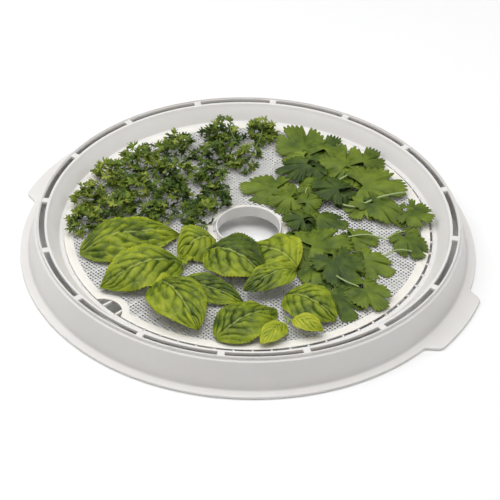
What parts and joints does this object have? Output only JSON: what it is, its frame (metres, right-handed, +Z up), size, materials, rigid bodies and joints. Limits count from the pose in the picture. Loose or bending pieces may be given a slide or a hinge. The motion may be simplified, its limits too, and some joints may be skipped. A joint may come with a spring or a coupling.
{
  "type": "food dehydrator tray",
  "caption": "Round white stacking dehydrator tray with slotted rim, ribbed floor, two finger tabs and a lift-out mesh screen, loaded with fresh basil, cilantro and curly parsley leaves.",
  "frame": {"origin": "centre of the tray on the surface it stands on", "axes": "+Z up through the centre hole, +X through the middle of one finger tab, with the other tab at -X"},
  "size_m": [0.3634, 0.3434, 0.0338],
  "materials": {
    "tray_plastic": "satin moulded white polypropylene",
    "screen_plastic": "soft translucent cream plastic mesh",
    "basil_green": "fresh basil leaf, waxy with raised veins",
    "cilantro_green": "fresh cilantro leaf, satin",
    "parsley_green": "fresh curly parsley, satin"
  },
  "bodies": {
    "tray": {"tray": "tray_plastic"},
    "mesh_screen": {"mesh_screen": "screen_plastic"},
    "basil": {"basil_leaf_01": "basil_green", "basil_leaf_02": "basil_green", "basil_leaf_03": "basil_green", "basil_leaf_04": "basil_green", "basil_leaf_05": "basil_green", "basil_leaf_06": "basil_green", "basil_leaf_07": "basil_green", "basil_leaf_08": "basil_green", "basil_leaf_09": "basil_green", "basil_leaf_10": "basil_green", "basil_leaf_11": "basil_green", "basil_leaf_12": "basil_green"},
    "cilantro": {"cilantro_leaf_01": "cilantro_green", "cilantro_leaf_02": "cilantro_green", "cilantro_leaf_03": "cilantro_green", "cilantro_leaf_04": "cilantro_green", "cilantro_leaf_05": "cilantro_green", "cilantro_leaf_06": "cilantro_green", "cilantro_leaf_07": "cilantro_green", "cilantro_leaf_08": "cilantro_green", "cilantro_leaf_09": "cilantro_green", "cilantro_leaf_10": "cilantro_green", "cilantro_leaf_11": "cilantro_green", "cilantro_leaf_12": "cilantro_green", "cilantro_leaf_13": "cilantro_green", "cilantro_leaf_14": "cilantro_green", "cilantro_leaf_15": "cilantro_green", "cilantro_leaf_16": "cilantro_green", "cilantro_leaf_17": "cilantro_green", "cilantro_leaf_18": "cilantro_green", "cilantro_leaf_19": "cilantro_green", "cilantro_leaf_20": "cilantro_green", "cilantro_leaf_21": "cilantro_green", "cilantro_leaf_22": "cilantro_green", "cilantro_leaf_23": "cilantro_green", "cilantro_leaf_24": "cilantro_green"},
    "parsley": {"parsley_sprig_01": "parsley_green", "parsley_sprig_02": "parsley_green", "parsley_sprig_03": "parsley_green", "parsley_sprig_04": "parsley_green", "parsley_sprig_05": "parsley_green", "parsley_sprig_06": "parsley_green", "parsley_sprig_07": "parsley_green", "parsley_sprig_08": "parsley_green", "parsley_sprig_09": "parsley_green", "parsley_sprig_10": "parsley_green", "parsley_sprig_11": "parsley_green", "parsley_sprig_12": "parsley_green", "parsley_sprig_13": "parsley_green", "parsley_sprig_14": "parsley_green", "parsley_sprig_15": "parsley_green", "parsley_sprig_16": "parsley_green", "parsley_sprig_17": "parsley_green"}
  },
  "joints": [
    {"name": "screen_lift", "type": "slide", "parent": "tray", "child": "mesh_screen", "axis": [0, 0, 1], "range_m": [0, 0.08]},
    {"name": "basil_lift", "type": "slide", "parent": "mesh_screen", "child": "basil", "axis": [0, 0, 1], "range_m": [0, 0.06]},
    {"name": "cilantro_lift", "type": "slide", "parent": "mesh_screen", "child": "cilantro", "axis": [0, 0, 1], "range_m": [0, 0.06]},
    {"name": "parsley_lift", "type": "slide", "parent": "mesh_screen", "child": "parsley", "axis": [0, 0, 1], "range_m": [0, 0.06]}
  ]
}
